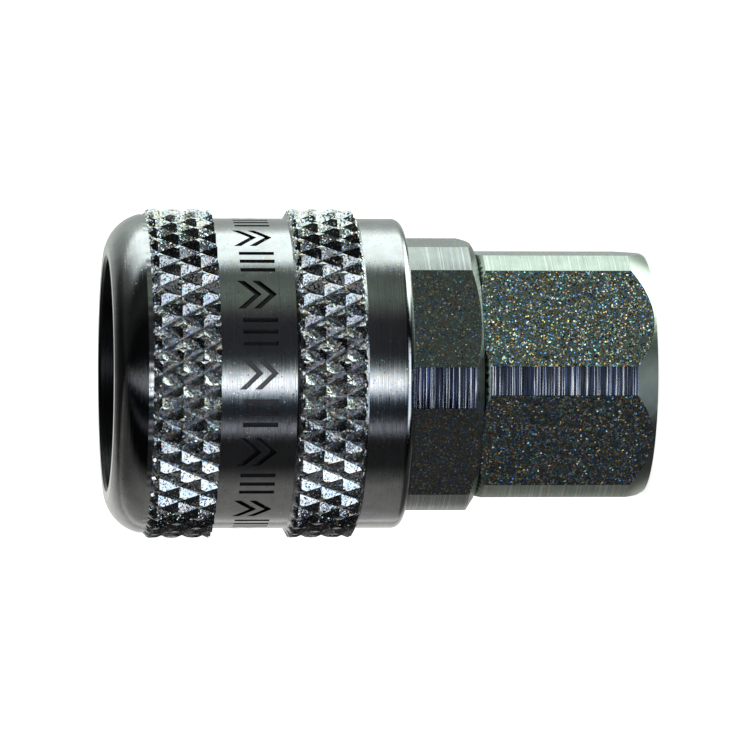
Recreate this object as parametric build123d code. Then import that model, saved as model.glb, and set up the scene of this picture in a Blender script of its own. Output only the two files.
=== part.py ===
from build123d import *
from math import cos, radians, sin
import os

# Quick disconnect coupler: the socket half of a 1/4 inch air line coupling.
#
# Millimetres, +Z up. The coupler stands on the rear face of its adapter, nose up, with its
# axis on Z and the origin at the middle of the rear face. Stations along the axis are given
# as depths below the nose, because every piece is stacked from there.

# Whole coupler
OVERALL = 39.0  # nose plane to rear face
RUNNING = 0.07  # radial clearance of the sleeve on the barrel
SHIM = 0.02  # gap left between pieces that rest on each other

# Sleeve, outside
NOSE_R = 9.3  # flat ring at the nose
NOSE_MIDDLE = (10.68, 0.82)  # radius and depth half-way round the nose rounding
SHOULDER_R = 11.5  # where the nose rounding ends
KNURL_R = 11.9  # crest of the knurl
PLAIN_R = 11.21  # plain bands between and behind the knurls
NOSE_ROUND_END = 2.3
FRONT_KNURL = (3.0, 7.42)
REAR_KNURL = (13.2, 17.6)
KNURL_RUNOUT = 0.36  # length of the slope at the foot of a knurled band
SLEEVE_LENGTH = 21.3
SLEEVE_TAIL_ROUND = 0.7

# Sleeve, inside
MOUTH_R = 8.35
MOUTH_CHAMFER = 0.2
TAIL_CHAMFER = 0.1
LIP = (2.7, 3.6)  # the guide lip that stops on the retaining ring
RELIEF_R = 8.85  # room for the balls when the sleeve is back
LAND_R = 8.0  # holds the balls in
SPRING_ROOM_R = 10.35  # also runs over the turned corners of the body's hexagon
SLEEVE_SHOULDER = 10.4  # the front of the spring stands here

# Body
BARREL_R = 7.9
BARREL_FRONT = 1.1
PLUG_BORE_R = 5.5  # the pilot bore that guides the plug's collar
PILOT_END = 6.6
BALL_BORE_R = 5.7  # the wider bore that the balls stand out into
PLUG_BORE_END = 13.3
ENTRY_CHAMFER = 1.0
FLANGE_R = 4.7  # the step that the plug seal is pressed against
CHAMBER_FRONT = 14.0
CHAMBER_R = 6.6
COLLAR_FRONT = 19.0
BODY_END = 26.4
BODY_FLATS = 19.05  # across flats, 3/4 inch
BODY_CORNER_R = 10.27  # corners are turned down to this
BODY_REAR_CHAMFER = (0.63, 0.97)  # axial, radial
BODY_TURN = 24.0  # degrees from +X to a corner
SOCKET_R = 8.0  # rear bore that takes the adapter's spigot
SOCKET_FRONT = 21.3

# Locking balls, in radial holes that narrow inwards so that the balls can't drop through
BALL_COUNT = 6
BALL_R = 1.5875
BALL_DEPTH = 8.6
BALL_REST_R = 6.27  # from the axis to the ball's centre, with the sleeve forward
BALL_HOLE_INNER_R = 1.43  # at BALL_HOLE_FROM_R
BALL_HOLE_OUTER_R = 1.65  # from BALL_SEAT_R outwards
BALL_HOLE_FROM_R = 5.2
BALL_SEAT_R = 6.3

# Retaining ring, in a groove near the front of the barrel
RING_DEPTH = (1.93, 2.68)
RING_GROOVE = (1.9, 2.7)
RING_R = (7.3, 8.2)
RING_GROOVE_R = 7.25
RING_GAP = 1.6

# Sleeve spring and its washer
WASHER_THICKNESS = 0.5
WASHER_R = (8.0, 9.7)
SLEEVE_SPRING_WIRE = 0.9
SLEEVE_SPRING_R = 8.75  # to the middle of the wire
SLEEVE_SPRING_TURNS = 4.5

# Plug seal and valve seat
PLUG_SEAL_R = (4.1, 6.5)
PLUG_SEAL_END = 16.0
PLUG_SEAL_LIP = 0.6  # bevel that guides the plug's tip in
PLUG_SEAL_HEEL = (0.2, 0.4)  # radial, axial
SEAT_R = (4.6, 6.58)
SEAT_END = 17.6

# Valve
VALVE_SEAL_R = (2.2, 5.4)
VALVE_SEAL_END = 18.6
VALVE_HEAD_R = 5.5
VALVE_HEAD_END = 19.8
CAP_R = 4.2  # the cap that clamps the seal and that the plug's tip pushes
CAP_FRONT = 16.6
CAP_NOTCHES = 4
CAP_NOTCH = 1.2  # width
CAP_NOTCH_FLOOR_R = 3.2
STUB_R = 2.15
RIVET_R = 2.8
RIVET_FRONT = 16.1
STEM_R = 1.2
VALVE_SPRING_WIRE = 0.6
VALVE_SPRING_R = 3.3
VALVE_SPRING_TURNS = 5.0

# Valve guide, a perforated disc in the adapter
GUIDE = (27.0, 28.0)
GUIDE_R = 6.15
GUIDE_BORE_R = 1.3
GUIDE_WINDOWS = 6
GUIDE_WINDOW_R = 1.15
GUIDE_WINDOW_AT_R = 4.35

# Adapter
ADAPTER_FRONT = 26.5
ADAPTER_FLATS = 17.46  # across flats, 11/16 inch
ADAPTER_CORNER_R = 9.55
ADAPTER_FRONT_R = 9.1
ADAPTER_STRIPS_FROM = 26.85  # the front chamfer reaches the corners here
ADAPTER_STRIPS_TO = 37.4  # the 30 degree rear chamfer leaves the corners here
ADAPTER_REAR_R = 8.63
ADAPTER_TURN = 26.6  # degrees from +X to a corner
SPIGOT_R = 7.95
SPIGOT_FRONT = 22.1
SPIGOT_BORE_R = 6.2
SHOULDER_BORE_R = 4.8
PORT_FLOOR = 28.8
PORT_R = 5.56  # tapping bore of a 1/4 inch taper pipe thread
PORT_MOUTH_R = 7.1
GASKET_R = (6.65, 7.9)


def height(depth):
    """Height above the rear face of a station at this depth below the nose."""
    return OVERALL - depth


def point(radius, depth):
    """A point of a half section, in the plane of X and Z."""
    return (radius, 0, height(depth))


def line(*stations):
    """A run of straight edges through (radius, depth) stations."""
    return Polyline(*[point(radius, depth) for radius, depth in stations])


def turned(*edges):
    """The solid that a closed half section sweeps out about the axis."""
    return revolve(make_face(Curve() + list(edges)), axis=Axis.Z)


def turned_outline(*stations):
    """A turned solid whose half section has straight sides only."""
    return turned(line(*stations, stations[0]))


def tube(radii, depths):
    """A plain ring between two radii and two depths."""
    inner, outer = radii
    front, rear = depths
    return turned_outline((inner, front), (outer, front), (outer, rear), (inner, rear))


def hexagon(across_flats, turn, front, rear):
    """A hexagonal bar between two depths, with one corner at turn degrees from +X."""
    outline = RegularPolygon(across_flats / 2, 6, major_radius=False, rotation=turn)
    return extrude(Pos(0, 0, height(rear)) * outline, rear - front)


def coil_spring(mean_r, wire, turns, front, rear):
    """A right-hand compression spring with ground ends, between two depths."""
    length = rear - front
    path = Pos(0, 0, height(rear)) * Helix(length / turns, length, mean_r)
    section = Plane(origin=path @ 0, z_dir=path % 0) * Circle(wire / 2)
    ground = Pos(0, 0, height(rear) + length / 2) * Cylinder(mean_r + wire, length)
    return sweep(section, path=path) & ground


def ball_bearing_angle(index):
    """Direction of a ball about the axis, in degrees from +X."""
    return index * 360 / BALL_COUNT


def ball(index):
    """A locking ball at rest, held in by the sleeve's land."""
    angle = radians(ball_bearing_angle(index))
    centre = (BALL_REST_R * cos(angle), BALL_REST_R * sin(angle), height(BALL_DEPTH))
    return Pos(*centre) * Sphere(BALL_R)


def ball_hole(index):
    """The tapered hole through the barrel that a ball moves in."""
    taper = BALL_SEAT_R - BALL_HOLE_FROM_R
    straight = BARREL_R + 1 - BALL_SEAT_R
    align = (Align.CENTER, Align.CENTER, Align.MIN)
    narrow = Pos(0, 0, BALL_HOLE_FROM_R) * Cone(BALL_HOLE_INNER_R, BALL_HOLE_OUTER_R, taper, align=align)
    wide = Pos(0, 0, BALL_SEAT_R) * Cylinder(BALL_HOLE_OUTER_R, straight, align=align)
    outwards = Pos(0, 0, height(BALL_DEPTH)) * Rot(0, 0, ball_bearing_angle(index)) * Rot(0, 90, 0)
    return outwards * (narrow + wide)


def sleeve():
    """The locking sleeve: rounded nose, two raised knurled bands, ball land and spring room."""
    front_knurl, front_knurl_end = FRONT_KNURL
    rear_knurl, rear_knurl_end = REAR_KNURL
    tail_r = PLAIN_R - SLEEVE_TAIL_ROUND
    tail_depth = SLEEVE_LENGTH - SLEEVE_TAIL_ROUND
    ramp = RELIEF_R - LAND_R
    lip_r = BARREL_R + RUNNING
    nose = ThreePointArc(point(NOSE_R, 0), point(*NOSE_MIDDLE), point(SHOULDER_R, NOSE_ROUND_END))
    outside = line(
        (SHOULDER_R, NOSE_ROUND_END),
        (SHOULDER_R, front_knurl - KNURL_RUNOUT),
        (KNURL_R, front_knurl),
        (KNURL_R, front_knurl_end),
        (PLAIN_R, front_knurl_end),
        (PLAIN_R, rear_knurl - KNURL_RUNOUT),
        (KNURL_R, rear_knurl),
        (KNURL_R, rear_knurl_end),
        (PLAIN_R, rear_knurl_end + KNURL_RUNOUT),
        (PLAIN_R, tail_depth),
    )
    halfway = SLEEVE_TAIL_ROUND * cos(radians(45))
    tail = ThreePointArc(
        point(PLAIN_R, tail_depth),
        point(tail_r + halfway, tail_depth + halfway),
        point(tail_r, SLEEVE_LENGTH),
    )
    inside = line(
        (tail_r, SLEEVE_LENGTH),
        (SPRING_ROOM_R + TAIL_CHAMFER, SLEEVE_LENGTH),
        (SPRING_ROOM_R, SLEEVE_LENGTH - TAIL_CHAMFER),
        (SPRING_ROOM_R, SLEEVE_SHOULDER),
        (LAND_R, SLEEVE_SHOULDER),
        (LAND_R, BALL_DEPTH),
        (RELIEF_R, BALL_DEPTH - ramp),
        (RELIEF_R, LIP[1]),
        (lip_r, LIP[1]),
        (lip_r, LIP[0]),
        (MOUTH_R, LIP[0]),
        (MOUTH_R, MOUTH_CHAMFER),
        (MOUTH_R + MOUTH_CHAMFER, 0),
        (NOSE_R, 0),
    )
    return turned(nose, outside, tail, inside)


def socket_body():
    """The body: barrel with six ball holes in front, hexagon behind, stepped bore inside."""
    chamfer_length, chamfer_drop = BODY_REAR_CHAMFER
    envelope = turned_outline(
        (PLUG_BORE_R + ENTRY_CHAMFER, BARREL_FRONT),
        (BARREL_R - 0.3, BARREL_FRONT),
        (BARREL_R, BARREL_FRONT + 0.3),
        (BARREL_R, RING_GROOVE[0]),
        (RING_GROOVE_R, RING_GROOVE[0]),
        (RING_GROOVE_R, RING_GROOVE[1]),
        (BARREL_R, RING_GROOVE[1]),
        (BARREL_R, COLLAR_FRONT),
        (BODY_CORNER_R, COLLAR_FRONT),
        (BODY_CORNER_R, BODY_END - chamfer_length),
        (BODY_CORNER_R - chamfer_drop, BODY_END),
        (SOCKET_R, BODY_END),
        (SOCKET_R, SOCKET_FRONT),
        (CHAMBER_R, SOCKET_FRONT),
        (CHAMBER_R, CHAMBER_FRONT),
        (FLANGE_R, CHAMBER_FRONT),
        (FLANGE_R, PLUG_BORE_END),
        (BALL_BORE_R, PLUG_BORE_END),
        (BALL_BORE_R, PILOT_END),
        (PLUG_BORE_R, PILOT_END),
        (PLUG_BORE_R, BARREL_FRONT + ENTRY_CHAMFER),
    )
    barrel = Pos(0, 0, height(COLLAR_FRONT)) * Cylinder(
        BARREL_R + 1, COLLAR_FRONT, align=(Align.CENTER, Align.CENTER, Align.MIN)
    )
    body = envelope & (barrel + hexagon(BODY_FLATS, BODY_TURN, COLLAR_FRONT, BODY_END))
    for index in range(BALL_COUNT):
        body -= ball_hole(index)
    return body


def end_adapter():
    """The rear hexagon, with a spigot into the body and a female pipe port."""
    envelope = turned_outline(
        (ADAPTER_CORNER_R, ADAPTER_STRIPS_TO),
        (ADAPTER_REAR_R, OVERALL),
        (PORT_MOUTH_R, OVERALL),
        (PORT_R, OVERALL - (PORT_MOUTH_R - PORT_R)),
        (PORT_R, PORT_FLOOR),
        (SHOULDER_BORE_R, PORT_FLOOR),
        (SHOULDER_BORE_R, GUIDE[1]),
        (SPIGOT_BORE_R, GUIDE[1]),
        (SPIGOT_BORE_R, SPIGOT_FRONT),
        (SPIGOT_R, SPIGOT_FRONT),
        (SPIGOT_R, ADAPTER_FRONT),
        (ADAPTER_FRONT_R, ADAPTER_FRONT),
        (ADAPTER_CORNER_R, ADAPTER_STRIPS_FROM),
    )
    spigot = tube((0, SPIGOT_R + 0.5), (SPIGOT_FRONT, ADAPTER_FRONT))
    return envelope & (spigot + hexagon(ADAPTER_FLATS, ADAPTER_TURN, ADAPTER_FRONT, OVERALL))


def retaining_ring():
    """A flat split ring that stops the sleeve; its gap faces -Y."""
    inner, outer = RING_R
    gap = Pos(0, -(inner + outer) / 2, height(sum(RING_DEPTH) / 2)) * Box(RING_GAP, 2, 2)
    return tube(RING_R, RING_DEPTH) - gap


def plug_seal():
    """The rubber ring that the plug's tip passes into, with a bevelled lip."""
    inner, outer = PLUG_SEAL_R
    front = CHAMBER_FRONT + SHIM
    rear = PLUG_SEAL_END - SHIM
    heel_width, heel_length = PLUG_SEAL_HEEL
    return turned_outline(
        (inner + PLUG_SEAL_LIP, front),
        (outer, front),
        (outer, rear),
        (inner + heel_width, rear),
        (inner, rear - heel_length),
        (inner, front + PLUG_SEAL_LIP),
    )


def valve_poppet():
    """The valve: riveted stub in front, head in the middle, guided stem behind."""
    seal_front = SEAT_END + SHIM
    return turned_outline(
        (0, RIVET_FRONT),
        (RIVET_R - 0.3, RIVET_FRONT),
        (RIVET_R, RIVET_FRONT + 0.2),
        (RIVET_R, CAP_FRONT - SHIM),
        (STUB_R, CAP_FRONT - SHIM),
        (STUB_R, seal_front),
        (STUB_R, VALVE_SEAL_END + SHIM),
        (VALVE_HEAD_R, VALVE_SEAL_END + SHIM),
        (VALVE_HEAD_R, VALVE_HEAD_END - 0.4),
        (VALVE_HEAD_R - 0.4, VALVE_HEAD_END),
        (STEM_R, VALVE_HEAD_END),
        (STEM_R, GUIDE[1] - 0.2),
        (STEM_R - 0.2, GUIDE[1]),
        (0, GUIDE[1]),
    )


def valve_cap():
    """The notched cap that clamps the valve seal; air passes through the notches."""
    cap = tube((VALVE_SEAL_R[0], CAP_R), (CAP_FRONT, SEAT_END))
    notch = Box(2 * (CAP_R - CAP_NOTCH_FLOOR_R), CAP_NOTCH, 2)
    middle = height((CAP_FRONT + SEAT_END) / 2)
    for index in range(CAP_NOTCHES):
        turn = Rot(0, 0, 45 + index * 360 / CAP_NOTCHES)
        cap -= turn * Pos(CAP_R, 0, middle) * notch
    return cap


def valve_guide():
    """The perforated disc that the valve spring stands on and the stem slides in."""
    disc = tube((GUIDE_BORE_R, GUIDE_R), (GUIDE[0], GUIDE[1] - SHIM))
    middle = height(sum(GUIDE) / 2)
    for index in range(GUIDE_WINDOWS):
        turn = Rot(0, 0, index * 360 / GUIDE_WINDOWS)
        disc -= turn * Pos(GUIDE_WINDOW_AT_R, 0, middle) * Cylinder(GUIDE_WINDOW_R, 2)
    return disc


def pieces():
    """Every piece of the coupler, by name."""
    washer_front = COLLAR_FRONT - SHIM - WASHER_THICKNESS
    found = {
        "sleeve": sleeve(),
        "socket_body": socket_body(),
        "end_adapter": end_adapter(),
        "sleeve_retaining_ring": retaining_ring(),
        "spring_washer": tube(WASHER_R, (washer_front, COLLAR_FRONT - SHIM)),
        "sleeve_spring": coil_spring(
            SLEEVE_SPRING_R,
            SLEEVE_SPRING_WIRE,
            SLEEVE_SPRING_TURNS,
            SLEEVE_SHOULDER + SHIM,
            washer_front - SHIM,
        ),
        "plug_seal": plug_seal(),
        "valve_seat": tube(SEAT_R, (PLUG_SEAL_END, SEAT_END)),
        "valve_poppet": valve_poppet(),
        "valve_seal": tube(VALVE_SEAL_R, (SEAT_END + SHIM, VALVE_SEAL_END)),
        "valve_seal_cap": valve_cap(),
        "valve_spring": coil_spring(
            VALVE_SPRING_R, VALVE_SPRING_WIRE, VALVE_SPRING_TURNS, VALVE_HEAD_END + SHIM, GUIDE[0] - SHIM
        ),
        "valve_guide": valve_guide(),
        "adapter_gasket": tube(GASKET_R, (SOCKET_FRONT + SHIM, SPIGOT_FRONT - SHIM)),
    }
    for index in range(BALL_COUNT):
        found[f"locking_ball_{index + 1}"] = ball(index)
    return found


os.makedirs("parts", exist_ok=True)
for name, shape in pieces().items():
    export_step(shape, f"parts/{name}.step")
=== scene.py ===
from math import cos, floor, pi, radians, sin, sqrt

import bmesh
import bpy
from mathutils import Matrix, Vector


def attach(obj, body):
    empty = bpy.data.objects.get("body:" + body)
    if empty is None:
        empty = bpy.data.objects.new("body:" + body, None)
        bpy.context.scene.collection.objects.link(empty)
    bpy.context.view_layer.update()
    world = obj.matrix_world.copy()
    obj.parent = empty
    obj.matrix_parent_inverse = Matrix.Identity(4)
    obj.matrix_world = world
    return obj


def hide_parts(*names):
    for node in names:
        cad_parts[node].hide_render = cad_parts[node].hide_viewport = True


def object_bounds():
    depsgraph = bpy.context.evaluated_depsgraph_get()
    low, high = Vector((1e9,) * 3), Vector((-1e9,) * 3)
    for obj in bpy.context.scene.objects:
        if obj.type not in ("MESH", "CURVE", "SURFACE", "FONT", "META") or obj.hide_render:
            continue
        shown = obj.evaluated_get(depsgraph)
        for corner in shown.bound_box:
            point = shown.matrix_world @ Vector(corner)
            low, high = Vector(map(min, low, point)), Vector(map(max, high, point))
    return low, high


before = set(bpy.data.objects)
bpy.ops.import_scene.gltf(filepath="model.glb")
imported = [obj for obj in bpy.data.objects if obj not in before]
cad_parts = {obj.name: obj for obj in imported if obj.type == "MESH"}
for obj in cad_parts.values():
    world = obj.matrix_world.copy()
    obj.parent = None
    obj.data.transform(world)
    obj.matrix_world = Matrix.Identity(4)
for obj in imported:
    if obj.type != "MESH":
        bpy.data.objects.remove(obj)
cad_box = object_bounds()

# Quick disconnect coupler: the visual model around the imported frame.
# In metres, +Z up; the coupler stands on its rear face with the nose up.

MM = 0.001
TOP = cad_box[1][2]  # the nose plane

# Camera
CAMERA_DISTANCE = 0.464
CAMERA_LIFT = radians(6.2)  # the nose leans towards the camera by this
AIM_RIGHT = 0.00004  # the camera's aim, off the middle of the object
AIM_DOWN = 0.00012
VIEW_WIDTH = 0.0544  # what the frame's width covers at the object
SENSOR_MM = 36.0

# Sleeve, in millimetres below the nose and from the axis
NOSE_ARC = ((9.3, 0), (10.68, 0.82), (11.5, 2.3))
SHOULDER_R = 11.5
KNURL_R = 11.9
PLAIN_R = 11.21
KNURL_BANDS = ((3.0, 7.42, 3.24), (13.2, 17.6, 13.37))  # start, end, first line of tips
KNURL_FOOT = 0.36  # length of the slope at the foot of a band
FOOT_MARGIN = 0.05  # keeps a narrow flat strip beside each foot
FOOT_SHARES = (0.0, 0.33, 0.67)  # rows on a foot, as shares of its height
KNURL_AROUND = 44
KNURL_PITCH = 2.96  # axial distance between tips of one row
KNURL_DEPTH = 0.5
KNURL_TIP = 0.8  # tips are blunted above this share of a full pyramid
KNURL_STEPS = 4  # mesh steps per half pitch
SLEEVE_END = 21.3
TAIL_ROUND = 0.7
# The inside, from the tail: spring room, ball land, ball relief, guide lip and mouth.
SLEEVE_INSIDE = (
    (10.45, SLEEVE_END), (10.35, SLEEVE_END - 0.1), (10.35, 10.4), (8.0, 10.4), (8.0, 8.6), (8.85, 7.75),
    (8.85, 3.6), (7.97, 3.6), (7.97, 2.7), (8.35, 2.7), (8.35, 0.2), (8.55, 0.0),
)

# Marks engraved round the plain band
MARK_DEPTHS = (9.0, 11.5)
MARK_STROKE = 0.34
MARK_CUT = 0.2
MARK_GROUPS = 12
CHEVRON_REACH = 1.2  # along the axis, of one arm's centre line
CHEVRON_HALF = 1.15  # round the sleeve, from the tip to the end of an arm
MARK_BARS = (2.15, 3.0, 3.85)  # round the sleeve from the chevrons

BODY_CORNER_R = 10.27
ADAPTER_FLATS = 17.46  # across flats
ADAPTER_CORNER_R = 9.55

# Pipe thread of the port, in millimetres
THREAD_PITCH = 25.4 / 18
THREAD_CORE_R = 5.4
THREAD_ROOT_R = 6.68
THREAD_FLAT = 0.06  # half the width of the thread's root
PORT_DEPTHS = (30.2, 39.3)  # where the thread starts and runs out


def depth_z(depth):
    """Height in metres of a station this many millimetres below the nose."""
    return TOP - depth * MM


# ---------------------------------------------------------------- mesh helpers

def add_object(name, mesh):
    """A new object in the scene holding this mesh."""
    piece = bpy.data.objects.new(name, mesh)
    bpy.context.scene.collection.objects.link(piece)
    return piece


def weld(mesh):
    """Joins the vertices that an export split along sharp edges, so that the mesh is closed."""
    shape = bmesh.new()
    shape.from_mesh(mesh)
    bmesh.ops.remove_doubles(shape, verts=shape.verts, dist=0.001 * MM)
    shape.to_mesh(mesh)
    shape.free()


def crisp(mesh, degrees):
    """Smooth shading with edges sharper than the angle kept crisp."""
    mesh.polygons.foreach_set("use_smooth", [True] * len(mesh.polygons))
    mesh.set_sharp_from_angle(angle=radians(degrees))


def ring_mesh(name, rows, columns, radius_at, face_kind):
    """A turned ring: rows of depth stations, columns round the axis, radius_at(row, column).

    face_kind(row, column) gives the face's material, and the diagonal it is split along:
    None, "forward" or "back".
    """
    verts = []
    for row in range(rows):
        for column in range(columns):
            radius, depth = radius_at(row, column)
            angle = 2 * pi * column / columns
            verts.append((radius * cos(angle) * MM, radius * sin(angle) * MM, depth_z(depth)))
    faces, kinds = [], []
    for row in range(rows):
        following = (row + 1) % rows
        for column in range(columns):
            beside = (column + 1) % columns
            a, b = row * columns + column, following * columns + column
            c, d = following * columns + beside, row * columns + beside
            kind, split = face_kind(row, column)
            if split is None:
                new = [(a, b, c, d)]
            elif split == "forward":
                new = [(a, b, c), (a, c, d)]
            else:
                new = [(a, b, d), (b, c, d)]
            faces += new
            kinds += [kind] * len(new)
    mesh = bpy.data.meshes.new(name)
    mesh.from_pydata(verts, [], faces)
    mesh.polygons.foreach_set("material_index", kinds)
    return mesh


def cut(piece, cutter):
    """Cuts one mesh object out of another for good, and removes the cutter."""
    modifier = piece.modifiers.new("cut", "BOOLEAN")
    modifier.object = cutter
    modifier.operation = "DIFFERENCE"
    modifier.solver = "EXACT"
    modifier.material_mode = "TRANSFER"
    modifier.use_self = True
    bpy.context.view_layer.update()
    shaped = bpy.data.meshes.new_from_object(piece.evaluated_get(bpy.context.evaluated_depsgraph_get()))
    piece.modifiers.clear()
    piece.data = shaped
    bpy.data.objects.remove(cutter)


# ---------------------------------------------------------------- materials

class Nodes:
    """Short calls for building a node tree."""

    def __init__(self, tree):
        self.tree = tree
        tree.nodes.clear()

    def add(self, kind, **values):
        node = self.tree.nodes.new(kind)
        for key, value in values.items():
            setattr(node, key, value)
        return node

    def link(self, source, target):
        self.tree.links.new(source, target)

    def math(self, operation, first, second=None, third=None, clamp=False):
        node = self.add("ShaderNodeMath", operation=operation, use_clamp=clamp)
        for socket, value in zip(node.inputs, (first, second, third)):
            if value is None:
                continue
            if isinstance(value, (int, float)):
                socket.default_value = value
            else:
                self.link(value, socket)
        return node.outputs[0]

    def vector(self, operation, *values):
        node = self.add("ShaderNodeVectorMath", operation=operation)
        for socket, value in zip(node.inputs, values):
            if isinstance(value, tuple):
                socket.default_value = value
            else:
                self.link(value, socket)
        return node.outputs["Vector"]

    def shades(self, value, colour, dark, bright):
        """A colour between a darker and a brighter shade of itself."""
        darker = tuple(part * dark for part in colour)
        brighter = tuple(min(1, part * bright) for part in colour)
        return self.ramp(value, [(0.3, darker), (0.7, brighter)])

    def finish(self, shader):
        """Sends a surface shader to the material's output."""
        self.link(shader.outputs[0], self.add("ShaderNodeOutputMaterial").inputs[0])

    def ramp(self, value, stops):
        node = self.add("ShaderNodeValToRGB")
        elements = node.color_ramp.elements
        while len(elements) > 1:
            elements.remove(elements[-1])
        for index, (place, colour) in enumerate(stops):
            element = elements[0] if index == 0 else elements.new(place)
            element.position = place
            shade = colour if isinstance(colour, tuple) else (colour, colour, colour)
            element.color = (*shade, 1.0)
        self.link(value, node.inputs[0])
        return node.outputs[0]


def new_material(name):
    """An empty material and its node helper."""
    material = bpy.data.materials.new(name)
    material.use_nodes = True
    return material, Nodes(material.node_tree)


def object_point(nodes, scale):
    """Object coordinates stretched by a scale along each axis."""
    place = nodes.add("ShaderNodeTexCoord").outputs["Object"]
    mapping = nodes.add("ShaderNodeMapping")
    mapping.inputs["Scale"].default_value = scale
    nodes.link(place, mapping.inputs["Vector"])
    return mapping.outputs[0]


def noise(nodes, scale, detail=2.0, vector_scale=(1, 1, 1), roughness=0.5):
    """Noise in object space; scale is in cycles per metre."""
    node = nodes.add("ShaderNodeTexNoise")
    node.inputs["Scale"].default_value = scale
    node.inputs["Detail"].default_value = detail
    node.inputs["Roughness"].default_value = roughness
    nodes.link(object_point(nodes, vector_scale), node.inputs["Vector"])
    return node


# Colours that the sparkling facets of the plating run through.
SPARKS = (
    (0.0, (0.1, 0.3, 1.0)), (0.15, (0.1, 0.4, 1.0)), (0.2, (1.0, 0.4, 0.08)), (0.35, (1.0, 0.5, 0.1)),
    (0.4, (0.15, 0.9, 1.0)), (0.52, (0.3, 0.9, 0.9)), (0.57, (1.0, 1.0, 1.0)), (0.72, (1.0, 1.0, 1.0)),
    (0.76, (1.0, 0.85, 0.2)), (0.86, (0.9, 0.9, 0.3)), (0.9, (0.1, 0.2, 0.8)), (1.0, (0.15, 0.35, 0.9)),
)


def sparkle(nodes, size_mm, tilt, share):
    """Tiny facets scattered over a surface: the tipped normal, the facets' colour, and where they are."""
    cells = nodes.add("ShaderNodeTexVoronoi")
    cells.inputs["Scale"].default_value = 1 / (size_mm * MM)
    nodes.link(object_point(nodes, (1, 1, 1)), cells.inputs["Vector"])
    place = nodes.add("ShaderNodeTexWhiteNoise", noise_dimensions="3D")
    nodes.link(cells.outputs["Position"], place.inputs["Vector"])
    here = nodes.math("LESS_THAN", place.outputs["Value"], share)
    tipped = nodes.vector("SCALE", nodes.vector("SUBTRACT", cells.outputs["Color"], (0.5, 0.5, 0.5)))
    nodes.link(nodes.math("MULTIPLY", here, tilt), tipped.node.inputs["Scale"])
    normal = nodes.vector("ADD", nodes.add("ShaderNodeNewGeometry").outputs["Normal"], tipped)
    colour = nodes.ramp(nodes.math("DIVIDE", place.outputs["Value"], share), SPARKS)
    return nodes.vector("NORMALIZE", normal), colour, here


def turning_lines(nodes, per_mm):
    """Noise that changes only along the axis, as a tool leaves on turned steel."""
    lines = noise(nodes, per_mm / MM, detail=4.0, vector_scale=(0.002, 0.002, 1.0), roughness=0.8)
    return lines.outputs["Fac"]


def striations(nodes):
    """Fine slanted scratches, as a knurling wheel leaves on the walls of its grooves."""
    return noise(nodes, 2500, detail=3.0, vector_scale=(0.4, 0.4, 1.0), roughness=0.8).outputs["Fac"]


# Colours of the turning lines on the hexagons' corners, from the dark lines to the bright ones.
# Strong on the corner facing the camera: painted highlight streaks with painted dark lines between them.
TURNING_AND_PAINTED_HIGHLIGHT_STREAKS = (
    (0.38, (0.05, 0.1, 0.35)), (0.43, (0.01, 0.01, 0.02)), (0.52, (0.01, 0.01, 0.03)),
    (0.545, (0.05, 0.1, 0.3)), (0.575, (0.9, 0.95, 1.0)), (0.62, (1.0, 1.0, 1.0)), (0.66, (1.0, 0.6, 0.3)),
)


# Parts of a hexagon, as shares of its corners' radius.
INNERMOST_FLAT = 0.9  # the flats lie beyond this, and bores within it
FRONT_CORNER = 0.8  # only the corner at the front reaches this far forward


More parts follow.
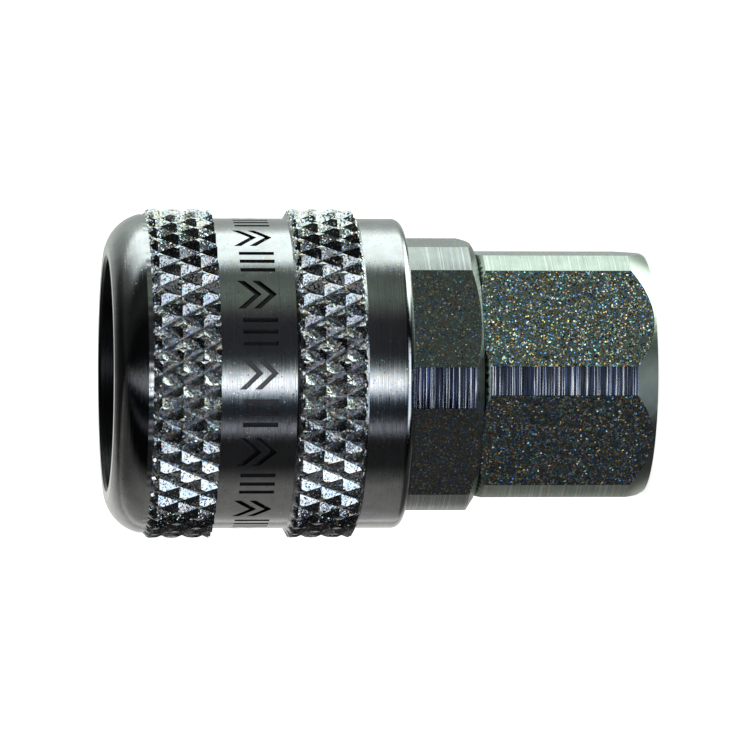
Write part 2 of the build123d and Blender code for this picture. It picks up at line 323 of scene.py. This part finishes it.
def plated(name, colour, roughness=(0.05, 0.2), turning=0.0, grain=0.0, facets=(0.1, 0.0, 0.0), tint=0.0,
           strips_above=None):
    """Bright plated steel: turning lines, a fine grain, and tinted facets (size, tilt, share of the area).

    strips_above is the radius in millimetres beyond which a hexagon's corners are turned;
    the turning lines then stay on the corners, and the facets on the flats. The corner facing the camera
    takes the streak colours strongly: a painted highlight with painted dark lines.
    """
    material, nodes = new_material(name)
    shader = nodes.add("ShaderNodeBsdfPrincipled")
    shader.inputs["Metallic"].default_value = 1.0
    lines = turning_lines(nodes, 5.0)
    mottle = noise(nodes, 900, detail=3.0).outputs["Fac"]
    faceted, cell_colour, here = sparkle(nodes, *facets)
    tone = nodes.shades(mottle, colour, 0.9, 1.1)
    tinted = nodes.add("ShaderNodeMix", data_type="RGBA")
    nodes.link(tone, tinted.inputs["A"])
    nodes.link(cell_colour, tinted.inputs["B"])
    low, high = roughness
    if strips_above:
        place = nodes.add("ShaderNodeSeparateXYZ")
        nodes.link(nodes.add("ShaderNodeTexCoord").outputs["Object"], place.inputs[0])
        x, y, z = place.outputs
        radius = nodes.math("SQRT", nodes.math("MULTIPLY_ADD", x, x, nodes.math("MULTIPLY", y, y)))
        turned = nodes.math("GREATER_THAN", radius, (strips_above - 0.02) * MM)
        flat = nodes.math("SUBTRACT", 1.0, turned)
        lines = nodes.math("MULTIPLY_ADD", nodes.math("SUBTRACT", lines, 0.5), turned, 0.5)
        base = nodes.math("MULTIPLY_ADD", turned, low - high, high)
        rough = nodes.math("MULTIPLY_ADD", nodes.math("SUBTRACT", lines, 0.5), 0.3, base, clamp=True)
        level = nodes.add("ShaderNodeSeparateXYZ")
        nodes.link(nodes.add("ShaderNodeNewGeometry").outputs["Normal"], level.inputs[0])
        upright = nodes.math("LESS_THAN", nodes.math("ABSOLUTE", level.outputs[2]), 0.1)
        outside = nodes.math("GREATER_THAN", radius, INNERMOST_FLAT * strips_above * MM)
        sparkling = nodes.math("MULTIPLY", nodes.math("MULTIPLY", flat, outside), upright)
        here = nodes.math("MULTIPLY", here, sparkling)
        # The corner facing the camera, which takes the streak colours strongly as a painted highlight.
        front = nodes.math("LESS_THAN", y, -FRONT_CORNER * strips_above * MM)
        streak_and_highlight_share = nodes.math("MULTIPLY", turned, nodes.math("MULTIPLY_ADD", front, 0.75, 0.2))
        streaks_and_painted_highlight = nodes.add("ShaderNodeMix", data_type="RGBA")
        nodes.link(streak_and_highlight_share, streaks_and_painted_highlight.inputs["Factor"])
        nodes.link(tone, streaks_and_painted_highlight.inputs["A"])
        nodes.link(nodes.ramp(lines, TURNING_AND_PAINTED_HIGHLIGHT_STREAKS), streaks_and_painted_highlight.inputs["B"])
        nodes.link(streaks_and_painted_highlight.outputs["Result"], tinted.inputs["A"])
        mixed = nodes.add("ShaderNodeMix", data_type="VECTOR")
        nodes.link(sparkling, mixed.inputs["Factor"])
        nodes.link(nodes.add("ShaderNodeNewGeometry").outputs["Normal"], mixed.inputs["A"])
        nodes.link(faceted, mixed.inputs["B"])
        faceted = mixed.outputs["Result"]
    else:
        rough = nodes.ramp(lines, [(0.35, low), (0.65, high)])
    nodes.link(nodes.math("MULTIPLY", here, tint), tinted.inputs["Factor"])
    nodes.link(tinted.outputs["Result"], shader.inputs["Base Color"])
    nodes.link(rough, shader.inputs["Roughness"])
    height = nodes.math("MULTIPLY", lines, turning)
    height = nodes.math("MULTIPLY_ADD", mottle, grain, height)
    bump = nodes.add("ShaderNodeBump")
    bump.inputs["Distance"].default_value = 1e-5
    nodes.link(height, bump.inputs["Height"])
    nodes.link(faceted, bump.inputs["Normal"])
    nodes.link(bump.outputs[0], shader.inputs["Normal"])
    nodes.finish(shader)
    return material


def knurl_wall(name, colour, roughness, grain, tilt):
    """The wall of a knurl groove: slanted striations and a sparkle of tipped facets."""
    material, nodes = new_material(name)
    shader = nodes.add("ShaderNodeBsdfPrincipled")
    shader.inputs["Metallic"].default_value = 1.0
    marks = striations(nodes)
    faceted, cell_colour, here = sparkle(nodes, 0.1, tilt, 0.5)
    tone = nodes.shades(marks, colour, 0.75, 1.2)
    tinted = nodes.add("ShaderNodeMix", data_type="RGBA")
    nodes.link(nodes.math("MULTIPLY", here, 0.4), tinted.inputs["Factor"])
    nodes.link(tone, tinted.inputs["A"])
    nodes.link(cell_colour, tinted.inputs["B"])
    nodes.link(tinted.outputs["Result"], shader.inputs["Base Color"])
    shader.inputs["Roughness"].default_value = roughness
    bump = nodes.add("ShaderNodeBump")
    bump.inputs["Distance"].default_value = 1e-5
    nodes.link(nodes.math("MULTIPLY", marks, grain), bump.inputs["Height"])
    nodes.link(faceted, bump.inputs["Normal"])
    nodes.link(bump.outputs[0], shader.inputs["Normal"])
    nodes.finish(shader)
    return material


def matte(name, colour):
    """A dull surface with a faint bloom: moulded rubber or pressed fibre."""
    material, nodes = new_material(name)
    shader = nodes.add("ShaderNodeBsdfPrincipled")
    bloom = noise(nodes, 1500, detail=4.0).outputs["Fac"]
    dark = colour
    pale = tuple(min(1.0, c * 1.8 + 0.01) for c in colour)
    nodes.link(nodes.ramp(bloom, [(0.35, dark), (0.75, pale)]), shader.inputs["Base Color"])
    nodes.link(nodes.ramp(bloom, [(0.3, 0.45), (0.7, 0.65)]), shader.inputs["Roughness"])
    bump = nodes.add("ShaderNodeBump")
    bump.inputs["Distance"].default_value = 1e-5
    nodes.link(bloom, bump.inputs["Height"])
    nodes.link(bump.outputs[0], shader.inputs["Normal"])
    nodes.finish(shader)
    return material


STEEL = (0.60, 0.61, 0.63)
SLEEVE_STEEL = plated("sleeve_steel", STEEL, (0.04, 0.14), 1.4, 0.2, facets=(0.1, 0.08, 0.05), tint=0.5)
# Dark steel on the walls of the engraved marks: painted shade in their recesses.
MARK_PAINTED_SHADE = plated("mark_painted_shade", (0.12, 0.12, 0.13), (0.25, 0.4), grain=1.0)
# Near-black steel for the inside of the sleeve: painted shade in the bore.
INNER_PAINTED_SHADE = plated("sleeve_inner_painted_shade", (0.1, 0.1, 0.11), (0.2, 0.35), turning=1.0, grain=0.3)
# The two families of knurl walls: a lighter and a darker copy of one steel, painted light on one family and
# painted shade on the other.
KNURL_PAINTED_LIGHT_WALL = knurl_wall("knurl_painted_light_wall", (0.78, 0.79, 0.8), 0.18, 2.2, 0.4)
KNURL_PAINTED_SHADE_WALL = knurl_wall("knurl_painted_shade_wall", (0.62, 0.62, 0.64), 0.24, 1.8, 0.45)
BODY_STEEL = plated(
    "body_steel", (0.46, 0.49, 0.47), (0.1, 0.32), 4.0, 0.5, facets=(0.09, 0.4, 0.35), tint=0.75,
    strips_above=BODY_CORNER_R,
)
ADAPTER_STEEL = plated(
    "adapter_steel", (0.58, 0.66, 0.58), (0.1, 0.3), 4.0, 0.6, facets=(0.1, 0.6, 0.6), tint=0.85,
    strips_above=ADAPTER_CORNER_R,
)
RING_STEEL = plated("ring_steel", (0.36, 0.36, 0.37), (0.25, 0.4), turning=0.4, grain=0.3)
WIRE_STEEL = plated("wire_steel", (0.5, 0.5, 0.5), (0.15, 0.3), grain=0.4)
BALL_STEEL = plated("ball_steel", (0.72, 0.72, 0.73), (0.03, 0.08))
BRASS = plated("turned_brass", (0.72, 0.52, 0.24), (0.12, 0.25), turning=0.6, grain=0.2)
NITRILE = matte("nitrile", (0.018, 0.018, 0.02))
FIBRE = matte("fibre", (0.22, 0.06, 0.04))

NODE_MATERIALS = {
    "socket_body": BODY_STEEL,
    "sleeve_retaining_ring": RING_STEEL,
    "spring_washer": WIRE_STEEL,
    "sleeve_spring": WIRE_STEEL,
    "plug_seal": NITRILE,
    "valve_seat": BRASS,
    "valve_poppet": BRASS,
    "valve_seal": NITRILE,
    "valve_seal_cap": BRASS,
    "valve_spring": WIRE_STEEL,
    "valve_guide": BRASS,
    "adapter_gasket": FIBRE,
    **{f"locking_ball_{number}": BALL_STEEL for number in range(1, 7)},
}


def dress_nodes():
    """Gives each carried-over CAD node its material."""
    for name, material in NODE_MATERIALS.items():
        node = bpy.data.objects[name]
        for slot in node.material_slots:
            slot.material = material


# ---------------------------------------------------------------- sleeve

def knurl_height(around, along):
    """Share of the depth at a point of a diamond knurl, in half pitches; 0 in a groove, 1 at a tip."""
    u = (around + along) / 2
    v = (around - along) / 2
    return min(KNURL_TIP, 1 - 2 * max(abs(u - round(u)), abs(v - round(v))))


def arc_rows(start, middle, end, steps):
    """Points along the circle through three (radius, depth) stations."""
    (ax, ay), (bx, by), (cx, cy) = start, middle, end
    d = 2 * (ax * (by - cy) + bx * (cy - ay) + cx * (ay - by))
    ux = ((ax**2 + ay**2) * (by - cy) + (bx**2 + by**2) * (cy - ay) + (cx**2 + cy**2) * (ay - by)) / d
    uy = ((ax**2 + ay**2) * (cx - bx) + (bx**2 + by**2) * (ax - cx) + (cx**2 + cy**2) * (bx - ax)) / d
    centre = Vector((ux, uy))
    first = Vector(start) - centre
    turn = first.angle_signed(Vector(end) - centre)
    rows = []
    for step in range(steps + 1):
        spoke = first.copy()
        spoke.rotate(Matrix.Rotation(-turn * step / steps, 2))
        rows.append(tuple(centre + spoke))
    return rows


def along_lattice(band, depth):
    """Place along the lattice in half pitches, whole numbers on the lines of tips."""
    return 1 + (depth - band[2]) / (KNURL_PITCH / 2)


def band_rows(band):
    """Stations of a knurled band: (radius, depth, place along the lattice)."""
    start, end, tips = band
    step = KNURL_PITCH / 2 / KNURL_STEPS
    before = floor((tips - start - 0.02) / step)
    after = floor((end - tips - 0.02) / step)
    depths = [start] + [tips + step * index for index in range(-before, after + 1)] + [end]
    return [(KNURL_R, depth, along_lattice(band, depth)) for depth in depths]


def foot_rows(band, foot_r, shares, behind=False):
    """Stations on the slope before or behind a knurled band, at these shares of its height."""
    rows = []
    for share in shares:
        out = KNURL_FOOT * (1 - share)
        depth = band[1] + out if behind else band[0] - out
        rows.append((foot_r + (KNURL_R - foot_r) * share, depth, along_lattice(band, depth)))
    return rows


def plain_rows(points):
    """Stations with no knurl."""
    return [(radius, depth, None) for radius, depth in points]


def sleeve_rows():
    """Stations of the sleeve's section, outside from the nose and back inside; and how many are outside."""
    front, rear = KNURL_BANDS
    slant = TAIL_ROUND * sqrt(0.5)
    outside = plain_rows(arc_rows(*NOSE_ARC, 12))
    outside += foot_rows(front, SHOULDER_R, FOOT_SHARES) + band_rows(front)
    outside += plain_rows([
        (PLAIN_R, front[1]),
        (PLAIN_R, front[1] + FOOT_MARGIN),
        (PLAIN_R, rear[0] - KNURL_FOOT - FOOT_MARGIN),
    ])
    outside += foot_rows(rear, PLAIN_R, FOOT_SHARES) + band_rows(rear)
    outside += foot_rows(rear, PLAIN_R, FOOT_SHARES[::-1], behind=True)
    outside += plain_rows([(PLAIN_R, rear[1] + KNURL_FOOT + FOOT_MARGIN)])
    outside += plain_rows(arc_rows(
        (PLAIN_R, SLEEVE_END - TAIL_ROUND),
        (PLAIN_R - TAIL_ROUND + slant, SLEEVE_END - TAIL_ROUND + slant),
        (PLAIN_R - TAIL_ROUND, SLEEVE_END),
        9,
    ))
    return outside + plain_rows(SLEEVE_INSIDE), len(outside)


def knurled_sleeve_mesh():
    """The sleeve as one turned mesh, with its real diamond knurl cut into both bands."""
    rows, outside = sleeve_rows()
    last = len(rows) - 1

    def radius_at(row, column):
        radius, depth, along = rows[row]
        if along is not None:
            lift = knurl_height(column / KNURL_STEPS, along)
            radius = min(radius, KNURL_R - KNURL_DEPTH * (KNURL_TIP - lift) / KNURL_TIP)
        return radius, depth

    def face_kind(row, column):
        along, following = rows[row][2], rows[(row + 1) % len(rows)][2]
        if along is None or following is None:
            # Faces inside the sleeve take the painted-shade steel.
            return (1 if outside <= row < last else 0), None
        # One family of groove walls takes the painted-light steel, the other the painted-shade steel.
        even = (floor((column + 0.5) / KNURL_STEPS) + floor((along + following) / 2)) % 2 == 0
        return (2, "back") if even else (3, "forward")

    return ring_mesh("sleeve_knurled", len(rows), KNURL_AROUND * 2 * KNURL_STEPS, radius_at, face_kind)


def add_blade(verts, faces, radii, corners):
    """Adds a thin prism that stands through the surface; corners are (bearing, depth), counter-clockwise."""
    base, count = len(verts), len(corners)
    for radius in radii:
        for turn, depth in corners:
            verts.append((radius * cos(turn) * MM, radius * sin(turn) * MM, depth_z(depth)))
    faces.append(tuple(base + index for index in range(count)))
    faces.append(tuple(base + count + index for index in reversed(range(count))))
    for index in range(count):
        after = (index + 1) % count
        faces.append((base + after, base + index, base + count + index, base + count + after))


def cutter(name, verts, faces, material):
    """A cutter object; the walls that it leaves take its material."""
    mesh = bpy.data.meshes.new(name)
    mesh.from_pydata(verts, [], faces)
    mesh.materials.append(material)
    return add_object(name, mesh)


def mark_cutter():
    """Blades for the ring of double chevrons, which point the way the sleeve is pulled, and bars."""
    verts, faces = [], []
    front, rear = MARK_DEPTHS
    radii = (PLAIN_R - MARK_CUT, PLAIN_R + 0.3)
    shapes = []
    for tip in (rear, rear - MARK_STROKE * 3.2):
        for side in (-1, 1):
            arm = [
                (0, tip), (0, tip - MARK_STROKE * 1.5),
                (side * CHEVRON_HALF, tip - CHEVRON_REACH - MARK_STROKE * 1.5),
                (side * CHEVRON_HALF, tip - CHEVRON_REACH),
            ]
            shapes.append(arm[::side])
    for place in MARK_BARS:
        near, far = place - MARK_STROKE / 2, place + MARK_STROKE / 2
        shapes.append([(near, front), (far, front), (far, rear), (near, rear)])
    for group in range(MARK_GROUPS):
        start = 2 * pi * group / MARK_GROUPS
        for shape in shapes:
            add_blade(verts, faces, radii, [(start + around / PLAIN_R, depth) for around, depth in shape])
    return cutter("mark_cutter", verts, faces, MARK_PAINTED_SHADE)


def build_sleeve():
    """The sleeve, knurled and engraved."""
    mesh = knurled_sleeve_mesh()
    for material in (SLEEVE_STEEL, INNER_PAINTED_SHADE, KNURL_PAINTED_LIGHT_WALL, KNURL_PAINTED_SHADE_WALL):
        mesh.materials.append(material)
    piece = add_object("sleeve_knurled", mesh)
    cut(piece, mark_cutter())
    crisp(piece.data, 12)
    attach(piece, "sleeve")
    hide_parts("sleeve")


# ---------------------------------------------------------------- adapter

def thread_cutter():
    """The ridge of a tap: a V section swept along a right-hand helix, with capped ends."""
    around = 64  # stations in a turn
    start, end = PORT_DEPTHS
    turns = (end - start) / THREAD_PITCH
    base = THREAD_PITCH * 0.47  # half the width of the ridge, just under half a pitch
    lead_in = around * 0.75  # stations over which the ridge rises to its full height
    section = [
        (THREAD_CORE_R, -base),
        (THREAD_ROOT_R, -THREAD_FLAT),
        (THREAD_ROOT_R, THREAD_FLAT),
        (THREAD_CORE_R, base),
    ]
    count = len(section)
    verts, faces = [], []
    stations = int(turns * around)
    for station in range(stations + 1):
        angle = -2 * pi * station / around
        depth = start + THREAD_PITCH * station / around
        lead = min(1.0, (station + 1) / lead_in)
        for radius, offset in section:
            shrunk = THREAD_CORE_R + (radius - THREAD_CORE_R) * lead
            verts.append((shrunk * cos(angle) * MM, shrunk * sin(angle) * MM, depth_z(depth + offset)))
    for station in range(stations):
        for index in range(count):
            after = (index + 1) % count
            a, b = station * count + index, station * count + after
            faces.append((a, a + count, b + count, b))
    faces.append(tuple(range(count)))
    faces.append(tuple(stations * count + index for index in reversed(range(count))))
    return cutter("thread_cutter", verts, faces, ADAPTER_STEEL)


def build_adapter():
    """The end adapter with the thread cut into its port."""
    node = bpy.data.objects["end_adapter"]
    mesh = node.data.copy()
    mesh.name = "adapter_threaded"
    weld(mesh)
    mesh.materials.clear()
    mesh.materials.append(ADAPTER_STEEL)
    piece = add_object("adapter_threaded", mesh)
    piece.matrix_world = node.matrix_world
    cut(piece, thread_cutter())
    crisp(piece.data, 15)
    for face in piece.data.polygons:
        beyond = face.center.dot(face.normal) - ADAPTER_FLATS / 2 * MM
        face.use_smooth = not (abs(face.normal.z) < 0.01 and abs(beyond) < 0.01 * MM)
    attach(piece, "coupler_body")
    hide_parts("end_adapter")


# ---------------------------------------------------------------- studio

# What the plated steel mirrors, by bearing round the axis from the camera towards +X: (degrees, level).
STRIPS = (
    (-180, 0.8), (-158, 0.6), (-146, 0.3), (-138, 0.05), (-90, 0.02), (-49, 0.02), (-45, 0.1), (-41, 0.5),
    (-37, 0.06), (-28, 0.02), (-19, 0.06), (-14, 0.5), (-11, 2.2), (-5, 2.2), (-1, 0.8), (3, 0.2), (8, 0.06),
    (16, 0.035), (42, 0.04), (50, 0.12), (60, 0.2), (72, 0.15), (82, 0.14), (88, 0.5), (91, 1.6), (126, 1.9),
    (134, 0.7),
    (146, 0.5), (158, 0.5), (180, 0.65),
)
# The same bearings' tint.
TINTS = (
    (-180, (1.0, 0.99, 0.95)), (-90, (1.0, 0.98, 0.93)), (-45, (0.9, 0.93, 1.0)), (-18, (0.6, 0.8, 1.0)),
    (-8, (1.0, 1.0, 1.0)), (4, (0.85, 1.0, 1.0)), (14, (0.8, 0.9, 1.0)), (42, (0.95, 0.93, 1.0)),
    (56, (0.82, 1.0, 0.8)), (80, (0.86, 1.0, 0.9)), (94, (0.9, 1.0, 0.95)), (180, (0.93, 1.0, 0.93)),
)
# The table beside the coupler, mirrored only low down.
TABLE_GLOW = (
    (-180, 0.0), (-147, 0.0), (-146, 0.42), (-134, 0.24), (-122, 0.17), (-92, 0.145), (-82, 0.05), (-74, 0.0),
)


def build_world():
    """A studio seen only in reflections: strips of light round the axis, and softboxes towards the tail."""
    world = bpy.data.worlds.new("studio")
    bpy.context.scene.world = world
    world.use_nodes = True
    nodes = Nodes(world.node_tree)
    split = nodes.add("ShaderNodeSeparateXYZ")
    nodes.link(nodes.add("ShaderNodeTexCoord").outputs["Generated"], split.inputs[0])
    x, y, z = split.outputs
    bearing = nodes.math("ARCTAN2", x, nodes.math("MULTIPLY", y, -1.0))
    turn = nodes.math("MULTIPLY_ADD", bearing, 0.5 / pi, 0.5)
    rise = nodes.math("MULTIPLY_ADD", z, 0.5, 0.5)

    def by_bearing(stops):
        return nodes.ramp(turn, [((angle + 180) / 360, level) for angle, level in stops])

    def by_rise(stops):
        return nodes.ramp(rise, [(0.5 + 0.5 * sin(radians(angle)), level) for angle, level in stops])

    front = by_bearing(((-95, 0.0), (-80, 1.0), (80, 1.0), (92, 0.0)))
    front_gain = by_rise(((-90, 0.1), (-17, 0.2), (-12, 1.0), (2, 1.0), (9, 0.3), (16, 0.14), (90, 0.08)))
    back_gain = by_rise((
        (-90, 0.03), (-62, 0.1), (-55, 0.4), (-46, 0.4), (-36, 0.15), (-18, 0.9), (16, 0.9), (36, 0.4),
        (46, 0.08), (60, 0.02), (90, 0.01),
    ))
    difference = nodes.math("SUBTRACT", front_gain, back_gain)
    gain = nodes.math("MULTIPLY_ADD", difference, front, back_gain)
    level = nodes.math("MULTIPLY", by_bearing(STRIPS), gain)
    low = by_rise(((-18, 0.15), (-12, 1.0), (3, 1.0), (30, 0.7), (48, 0.35), (90, 0.3)))
    level = nodes.math("MULTIPLY_ADD", by_bearing(TABLE_GLOW), low, level)
    tail_side = by_rise(((-62, 0.0), (-55, 1.0), (-34, 1.0), (-27, 0.0)))
    softbox = by_bearing((
        (-50, 0.0), (-40, 1.7), (18, 1.7), (28, 0.0), (58, 0.0), (70, 2.2), (140, 2.2), (150, 0.0),
    ))
    level = nodes.math("MULTIPLY_ADD", tail_side, softbox, level)
    back = nodes.add("ShaderNodeBackground")
    nodes.link(by_bearing(TINTS), back.inputs["Color"])
    nodes.link(level, back.inputs["Strength"])
    nodes.link(back.outputs[0], nodes.add("ShaderNodeOutputWorld").inputs[0])


def build_floor():
    """A plain pale floor under the standing coupler."""
    mesh = bpy.data.meshes.new("floor")
    reach = 3.0
    corners = [(-reach, -reach, 0), (reach, -reach, 0), (reach, reach, 0), (-reach, reach, 0)]
    mesh.from_pydata(corners, [], [(0, 1, 2, 3)])
    floor = add_object("floor", mesh)
    floor.location.z = cad_box[0][2]
    floor.visible_glossy = False
    material, nodes = new_material("pale_floor")
    shader = nodes.add("ShaderNodeBsdfPrincipled")
    shader.inputs["Base Color"].default_value = (0.4, 0.4, 0.4, 1)
    shader.inputs["Roughness"].default_value = 1.0
    shader.inputs["Emission Color"].default_value = (1, 1, 1, 1)
    shader.inputs["Emission Strength"].default_value = 0.78
    nodes.finish(shader)
    mesh.materials.append(material)


def build_lights():
    """A broad overhead light for the floor, kept out of the steel's reflections."""
    data = bpy.data.lights.new("overhead", "SUN")
    data.energy = 3.2
    data.angle = radians(120)
    light = bpy.data.objects.new("overhead", data)
    light.visible_glossy = False
    bpy.context.scene.collection.objects.link(light)


def build_camera():
    """A long lens level with the coupler's side, rolled so that the nose points left."""
    data = bpy.data.cameras.new("camera")
    data.sensor_width = SENSOR_MM
    data.lens = SENSOR_MM * CAMERA_DISTANCE / VIEW_WIDTH
    data.clip_start = 0.01
    camera = bpy.data.objects.new("camera", data)
    bpy.context.scene.collection.objects.link(camera)
    back = Vector((0, -cos(CAMERA_LIFT), sin(CAMERA_LIFT)))
    up = Vector((1, 0, 0))
    right = up.cross(back)
    middle = Vector((0, 0, TOP / 2)) + right * AIM_RIGHT - up * AIM_DOWN
    place = Matrix((right, up, back)).transposed().to_4x4()
    place.translation = middle + back * CAMERA_DISTANCE
    camera.matrix_world = place
    bpy.context.scene.camera = camera


dress_nodes()
build_sleeve()
build_adapter()
build_world()
build_floor()
build_lights()
build_camera()
bpy.context.scene.view_settings.view_transform = "Standard"
